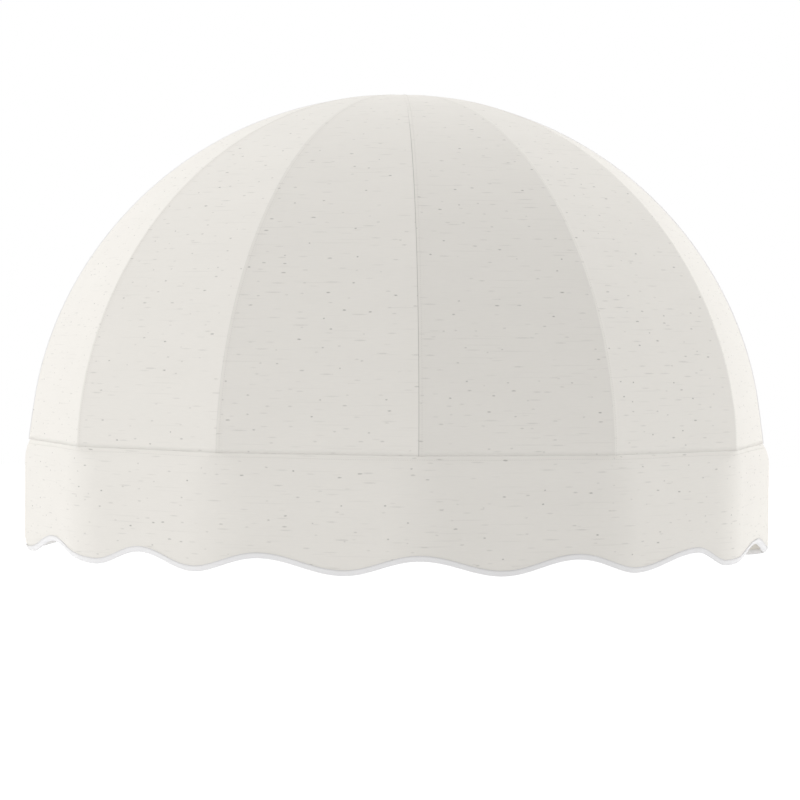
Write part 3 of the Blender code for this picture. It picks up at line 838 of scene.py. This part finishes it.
def valance_cloth(material):
    start = SEAM_LEVELS[-1][0]
    free = [(start + (1 - start) * step / VALANCE_ROWS, 0.0) for step in range(1, VALANCE_ROWS + 1)]
    rows, runs = valance_rows(SEAM_LEVELS + free)

    def cut(row, column, left):
        return (runs[column] + VALANCE_SHIFT, rows[row][column].z)

    def seam(row, column, left):
        # How far below the valance's top, and how dark the painted shade along the base seam
        return (max(0.0, -rows[row][column].z - valance_top(column, len(runs))), PAINTED_BASE_CREASE_SHADE)

    charts = charts_reversed({"cut": cut, "seam": seam}, len(rows))
    data = grid_mesh("valance_cloth", [raised(row) for row in reversed(rows)], charts)
    solid = thickened("valance_cloth", data, FABRIC)
    return add_piece("valance_cloth", solid, material, ["valance"])


def charts_reversed(charts, count):
    """The charts of a grid whose rows are laid bottom first."""

    def turned(chart):
        return lambda row, column, left: chart(count - 1 - row, column, left)

    return {name: turned(chart) for name, chart in charts.items()}


def outward_at(points, place):
    before = points[max(place - 1, 0)]
    after = points[min(place + 1, len(points) - 1)]
    return (after - before).cross(Vector((0, 0, 1))).normalized()


def tape_profile():
    """The tape's section as (out, up) from the fold line, down the front, round the fold and up the back."""
    outer = GAP + TAPE_THICKNESS
    inner = -(FABRIC + GAP + TAPE_THICKNESS)
    middle = (outer + inner) / 2
    half = (outer - inner) / 2
    edge = TAPE_THICKNESS / 2 * TAPE_ROUNDING
    front = [(TAPE_CONTACT, TAPE_HEIGHT), (outer - edge, TAPE_HEIGHT), (outer, TAPE_HEIGHT - edge)]
    front += [(outer - TAPE_STITCH_DENT, TAPE_HEIGHT - TAPE_STITCH_DROP), (outer, TAPE_HEIGHT / 2)]
    fold = []
    for step in range(FOLD_STEPS + 1):
        angle = math.pi * step / FOLD_STEPS
        fold.append((middle + half * math.cos(angle), half - half * math.sin(angle)))
    back = [(inner, TAPE_HEIGHT / 2), (inner, TAPE_HEIGHT - edge), (inner + edge, TAPE_HEIGHT)]
    back += [(-FABRIC - TAPE_CONTACT, TAPE_HEIGHT)]
    return front + fold + back


def along_tape(runs, out, up):
    """A row of points along the tape, at a place of its section."""
    route = valance_route(1.0, outsets(1 - up / VALANCE_DROP))
    row = []
    for place, (point, run) in enumerate(zip(route, runs)):
        row.append(Vector((point.x, point.y, up - scallop_depth(run))) + outward_at(route, place) * out)
    return row


def valance_tape(material):
    """The binding tape folded over the scalloped edge."""
    runs = hanging_run()
    profile = tape_profile()
    section_run = [0.0]
    for before, after in zip(profile, profile[1:]):
        section_run.append(section_run[-1] + math.dist(before, after))
    section_run.reverse()
    rows = [along_tape(runs, out, up) for out, up in reversed(profile)]

    def cut(row, column, left):
        return (runs[column], section_run[row])

    data = grid_mesh("valance_tape", [raised(row) for row in rows], {"cut": cut})
    return add_piece("valance_tape", data, material, ["valance_binding"])


# Tubes, piping and thread, each laid along a path by its tree


def path_object(name, points):
    data = bpy.data.curves.new(name, "CURVE")
    data.dimensions = "3D"
    for stretch in points:
        spline = data.splines.new("POLY")
        spline.points.add(len(stretch) - 1)
        for place, point in zip(spline.points, stretch):
            place.co = (*point, 1.0)
    item = bpy.data.objects.new(name, data)
    bpy.context.scene.collection.objects.link(item)
    return item


def new_tree(name, kinds):
    """A Geometry Nodes tree on a path, with its named inputs."""
    tree = bpy.data.node_groups.new(name, "GeometryNodeTree")
    for label, kind in {"Geometry": "NodeSocketGeometry", **kinds}.items():
        tree.interface.new_socket(label, in_out="INPUT", socket_type=kind)
    tree.interface.new_socket("Geometry", in_out="OUTPUT", socket_type="NodeSocketGeometry")
    graph = Graph(tree)
    start = graph.node("NodeGroupInput")
    return graph, {label: graph.out(start, label) for label in ("Geometry", *kinds)}


def end_tree(graph, shape, material):
    """Make what a tree has laid out real and give it its material."""
    real = graph.node("GeometryNodeRealizeInstances", None, {"Geometry": shape})
    coated = graph.node("GeometryNodeSetMaterial", None, {"Geometry": graph.out(real), "Material": material})
    graph.node("NodeGroupOutput", None, {"Geometry": graph.out(coated)})
    return graph.tree


def run_tree(item, tree, values):
    """Run a tree on an object with the given inputs, and return the plain mesh."""
    step = item.modifiers.new(tree.name, "NODES")
    step.node_group = tree
    for socket in tree.interface.items_tree:
        if socket.in_out == "INPUT" and socket.name in values:
            step[socket.identifier] = values[socket.name]
    data = baked(item)
    bpy.data.objects.remove(item, do_unlink=True)
    return data


def tube_tree():
    """A round tube along a path."""
    kinds = {
        "Radius": "NodeSocketFloat",
        "Sides": "NodeSocketInt",
        "Caps": "NodeSocketBool",
        "Finish": "NodeSocketMaterial",
    }
    graph, given = new_tree("tube_along_path", kinds)
    sizes = {"Radius": given["Radius"], "Resolution": given["Sides"]}
    circle = graph.node("GeometryNodeCurvePrimitiveCircle", None, sizes)
    inputs = {"Curve": given["Geometry"], "Profile Curve": graph.out(circle), "Fill Caps": given["Caps"]}
    sweep = graph.node("GeometryNodeCurveToMesh", None, inputs)
    smooth = graph.node("GeometryNodeSetShadeSmooth", None, {"Geometry": graph.out(sweep)})
    return end_tree(graph, graph.out(smooth), given["Finish"])


def stitch_tree():
    """Short rounded stitches, evenly spaced along a path and turned with it."""
    kinds = {
        "Pitch": "NodeSocketFloat",
        "Length": "NodeSocketFloat",
        "Thread radius": "NodeSocketFloat",
        "Finish": "NodeSocketMaterial",
    }
    graph, given = new_tree("stitches_along_path", kinds)
    spacing = {"Curve": given["Geometry"], "Length": given["Pitch"]}
    spaced = graph.node("GeometryNodeResampleCurve", {"mode": "LENGTH"}, spacing)
    points = graph.node("GeometryNodeCurveToPoints", {"mode": "EVALUATED"}, {"Curve": graph.out(spaced)})
    sizes = {"Segments": BEAD_SEGMENTS, "Rings": BEAD_RINGS, "Radius": 1.0}
    bead = graph.node("GeometryNodeMeshUVSphere", None, sizes)
    smooth = graph.node("GeometryNodeSetShadeSmooth", None, {"Geometry": graph.out(bead)})
    inputs = {
        "Points": graph.out(points, "Points"),
        "Instance": graph.out(smooth),
        "Rotation": graph.out(points, "Rotation"),
        "Scale": graph.join(given["Thread radius"], given["Thread radius"], given["Length"] * 0.5),
    }
    laid = graph.node("GeometryNodeInstanceOnPoints", None, inputs)
    return end_tree(graph, graph.out(laid), given["Finish"])


def stitched(name, paths, tree, material):
    values = {
        "Pitch": STITCH_PITCH,
        "Length": STITCH_LENGTH,
        "Thread radius": THREAD_RADIUS,
        "Finish": material,
    }
    data = run_tree(path_object(name + "_path", [raised(path) for path in paths]), tree, values)
    return add_piece(name, data, material)


def seam_stitch_paths():
    """One row along the lap of each seam."""
    turns = even_turns(turn_at_reach(STITCH_TIP_REACH), DOME_ROWS * 2)
    paths = []
    for angle in RIB_ANGLES.values():
        _, after = neighbours(angle)
        path = []
        for turn in turns:
            start = seam_point(angle, turn)
            end = seam_point(after, turn)
            width = (end - start).length
            lap = min(LAP_WIDTH, width * LAP_SHARE)
            normal = gore_normal(angle, after, turn)
            run = LAP_STITCH * lap / LAP_WIDTH
            path.append(start + (end - start).normalized() * run + normal * (LAP_HEIGHT * STITCH_SHOWING))
        paths.append(path)
    return paths


def valance_stitch_paths():
    """A row just under the base seam and one along the tape."""
    share = SEAM_STITCH_DROP / VALANCE_DROP
    rows, _ = valance_rows([(share, THREAD_RADIUS * 0.5)])
    margin = RUN_STEPS[0] + BEND_STEPS + 3
    seam = rows[0][margin:-margin]
    tape = along_tape(hanging_run(), GAP + TAPE_THICKNESS, TAPE_HEIGHT - TAPE_STITCH_DROP)
    return [seam], [tape]


def frame_tube(node, points, tree, material):
    """One of the frame's hollow tubes."""
    name = node + "_tube"
    values = {"Radius": TUBE_RADIUS, "Sides": TUBE_SIDES, "Caps": False, "Finish": material}
    data = run_tree(path_object(name + "_path", [raised(points)]), tree, values)
    return add_piece(name, thickened(name, data, TUBE_WALL), material, [node])


def stand_on_collar(path):
    along = (path[1] - path[0]).normalized()
    start = path[0] + along * (COLLAR_TOP + GAP)
    return [start] + [point for point in path[1:] if (point - path[0]).dot(along) > COLLAR_TOP + COLLAR_ROOM]


def rib_path(angle):
    last = turn_at_reach(RIB_TOP_REACH / plan_point(angle).length)
    return stand_on_collar([under_seam(angle, turn) for turn in even_turns(last, TUBE_STATIONS)])


def bow_point(side, turn):
    edge = seam_point(side * WALL_ANGLE, turn)
    normal = gore_normal(*sorted((side * WALL_ANGLE, side * OUTER_RIB_ANGLE)), turn)
    in_plane = Vector((normal.x, 0.0, normal.z))
    depth = (TUBE_INSET + normal.y * BOW_Y) / in_plane.length_squared
    point = edge - in_plane * depth
    point.y = BOW_Y
    return point


def bow_path():
    turns = even_turns(turn_at_reach(TIP_REACH), TUBE_STATIONS)
    left = stand_on_collar([bow_point(-1, turn) for turn in turns])
    right = stand_on_collar([bow_point(1, turn) for turn in turns])
    crown = Vector((0.0, BOW_Y, DOME_RISE - TUBE_INSET))
    return [*left, crown, *reversed(right)]


def hoop_path():
    corners = [under_seam(angle, 0.0) for angle in RIB_ANGLES.values()]
    ends = []
    for side, corner in ((-1, corners[0]), (1, corners[-1])):
        along = (bow_point(side, 0.0) - corner).normalized()
        face = PLATE + GAP + TUBE_RADIUS * abs(along.x)
        ends.append(corner + along * ((-face - corner.y) / along.y))
    corners = [ends[0], *corners, ends[1]]
    path = [corners[0]]
    for before, corner, after in zip(corners, corners[1:], corners[2:]):
        path.extend(corner_arc(before, corner, after, HOOP_BEND_RADIUS, BEND_STEPS))
    return [*path, corners[-1]]


def piping_path():
    """The middle line of the piping, from the left base corner over the crown to the right one."""
    points = []
    turns = even_turns(turn_at_reach(TIP_REACH), DOME_ROWS)
    for side in (-1, 1):
        one_side = []
        for turn in turns:
            along = seam_direction(side * WALL_ANGLE, turn)
            outward = Vector((along.z, 0, -along.x)) * side
            point = cover_point(side * WALL_ANGLE, turn) + outward * (PIPING_PROUD - PIPING_RADIUS)
            point.y = PIPING_Y
            one_side.append(point)
        points.extend(one_side if side < 0 else reversed(one_side))
    return points


def wall_piping(tree, material):
    values = {"Radius": PIPING_RADIUS, "Sides": PIPING_SIDES, "Caps": True, "Finish": material}
    data = run_tree(path_object("wall_piping_path", [raised(piping_path())]), tree, values)
    return add_piece("wall_piping", data, material, ["wall_edge_piping"])


def fittings(material):
    """The cast pieces keep their solids' shape and take the cast finish."""
    names = ["rib_shoe_" + name for name in RIB_ANGLES] + ["crown_hub"]
    names += [kind + side for kind in ("corner_bracket_", "wall_clip_") for side in ("left", "right")]
    for name in names:
        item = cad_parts[name]
        for place in item.material_slots:
            place.material = material


# Studio


def white_ray(graph):
    """1 on rays that show the background: from the camera, from glossy surfaces and through clear ones."""
    path = graph.node("ShaderNodeLightPath")
    rays = [graph.out(path, name) for name in ("Is Camera Ray", "Is Glossy Ray", "Is Transmission Ray")]
    return graph.maths("MAXIMUM", graph.maths("MAXIMUM", rays[0], rays[1]), rays[2])


def studio_world():
    """White where it is seen, and plain light on the awning."""
    world = bpy.data.worlds.new("plain_white")
    world.use_nodes = True
    world.node_tree.nodes.clear()
    graph = Graph(world.node_tree)
    light = graph.node("ShaderNodeBackground", None, {"Color": solid_colour(WHITE), "Strength": AMBIENT})
    seen = graph.node("ShaderNodeBackground", None, {"Color": solid_colour(WHITE), "Strength": 1.0})
    inputs = {0: white_ray(graph), 1: graph.out(light), 2: graph.out(seen)}
    mix = graph.node("ShaderNodeMixShader", None, inputs)
    graph.node("ShaderNodeOutputWorld", None, {"Surface": graph.out(mix)})
    bpy.context.scene.world = world


def floor():
    """A pale floor that looks white where nothing shades it."""
    shape = bmesh.new()
    bmesh.ops.create_grid(shape, x_segments=1, y_segments=1, size=FLOOR_SIDE / 2)
    bmesh.ops.translate(shape, vec=(0, 0, FLOOR_Z), verts=shape.verts)
    data = bpy.data.meshes.new("studio_floor")
    shape.to_mesh(data)
    shape.free()
    item = bpy.data.objects.new("studio_floor", data)
    bpy.context.scene.collection.objects.link(item)
    material = bpy.data.materials.new("pale_floor")
    material.use_nodes = True
    material.node_tree.nodes.clear()
    graph = Graph(material.node_tree)
    matte = graph.node("ShaderNodeBsdfDiffuse", None, {"Color": solid_colour(FLOOR_COLOUR)})
    shine = {"Color": solid_colour(WHITE), "Strength": white_ray(graph) * FLOOR_GLOW}
    glow = graph.node("ShaderNodeEmission", None, shine)
    both = graph.node("ShaderNodeAddShader", None, {0: graph.out(matte), 1: graph.out(glow)})
    graph.node("ShaderNodeOutputMaterial", None, {"Surface": graph.out(both)})
    data.materials.append(material)


def panel_light(name, turn, height, brightness):
    """A soft square panel aimed at the middle of the awning."""
    data = bpy.data.lights.new(name, "AREA")
    data.shape = "SQUARE"
    data.size = PANEL_SIDE
    data.energy = brightness * (math.pi * PANEL_DISTANCE) ** 2
    item = bpy.data.objects.new(name, data)
    bpy.context.scene.collection.objects.link(item)
    turn = math.radians(turn)
    height = math.radians(height)
    level = math.cos(height)
    direction = Vector((math.sin(turn) * level, -math.cos(turn) * level, math.sin(height)))
    middle = Vector((0.0, -PROJECTION / 3, BASE_Z + DOME_RISE / 3))
    item.location = middle + direction * PANEL_DISTANCE
    item.rotation_euler = direction.to_track_quat("Z", "Y").to_euler()
    item.visible_camera = False
    item.visible_glossy = False


def camera():
    """The photograph's viewpoint: its place, then its turn to the side, its tilt and its roll."""
    data = bpy.data.cameras.new("camera")
    data.sensor_fit = "HORIZONTAL"
    data.sensor_width = SENSOR
    data.lens = LENS
    data.clip_end = 200.0
    forward = Vector(
        (
            math.sin(CAMERA_YAW) * math.cos(CAMERA_PITCH),
            math.cos(CAMERA_YAW) * math.cos(CAMERA_PITCH),
            math.sin(CAMERA_PITCH),
        )
    )
    level_right = Vector((math.cos(CAMERA_YAW), -math.sin(CAMERA_YAW), 0.0))
    level_up = level_right.cross(forward)
    right = level_right * math.cos(CAMERA_ROLL) + level_up * math.sin(CAMERA_ROLL)
    up = level_up * math.cos(CAMERA_ROLL) - level_right * math.sin(CAMERA_ROLL)
    turn = Matrix((right, up, -forward)).transposed().to_4x4()
    item = bpy.data.objects.new("camera", data)
    bpy.context.scene.collection.objects.link(item)
    item.matrix_world = Matrix.Translation(CAMERA_PLACE) @ turn
    bpy.context.scene.camera = item


def gore_cut(left, right):
    """The base width, the length and the area of a gore's flat cut."""
    base = (plan_point(right) - plan_point(left)).length
    turns = even_turns(turn_at_reach(TIP_REACH), DOME_ROWS)
    run = profile_lengths(turns, [(left, right)])[0]
    area = 0.0
    for place in range(len(turns) - 1):
        width = base * (reach(turns[place]) + reach(turns[place + 1])) / 2
        area += width * (run[place + 1] - run[place])
    return base, run[-1], area


def declare_cloth():
    """Work out each sheet's flat size, which nothing then uses."""
    cuts = [gore_cut(left, right) for left, right in zip(SEAM_ANGLES, SEAM_ANGLES[1:])]
    run = 2 * hanging_run()[-1]
    run * VALANCE_DROP
    profile = tape_profile()
    tape_width = sum(math.dist(before, after) for before, after in zip(profile, profile[1:]))
    run * tape_width


def build():
    canvas = canvas_finish()
    tape = tape_finish()
    thread = thread_finish()
    coating = coating_finish()
    casting = casting_finish()
    tubes = tube_tree()
    stitches = stitch_tree()
    cover = dome_cover(canvas)
    valance = valance_cloth(canvas)
    binding = valance_tape(tape)
    for name, angle in RIB_ANGLES.items():
        frame_tube("rib_" + name, rib_path(angle), tubes, coating)
    frame_tube("base_hoop", hoop_path(), tubes, coating)
    frame_tube("wall_bow", bow_path(), tubes, coating)
    piping = wall_piping(tubes, tape)
    seam_rows = stitched("seam_stitches", seam_stitch_paths(), stitches, thread)
    base_path, tape_path = valance_stitch_paths()
    base_rows = stitched("base_seam_stitches", base_path, stitches, thread)
    tape_rows = stitched("tape_stitches", tape_path, stitches, thread)
    fittings(casting)
    declare_cloth()


build()
studio_world()
floor()
for label, values in PANELS.items():
    panel_light(label, *values)
camera()
bpy.context.scene.view_settings.view_transform = "Standard"
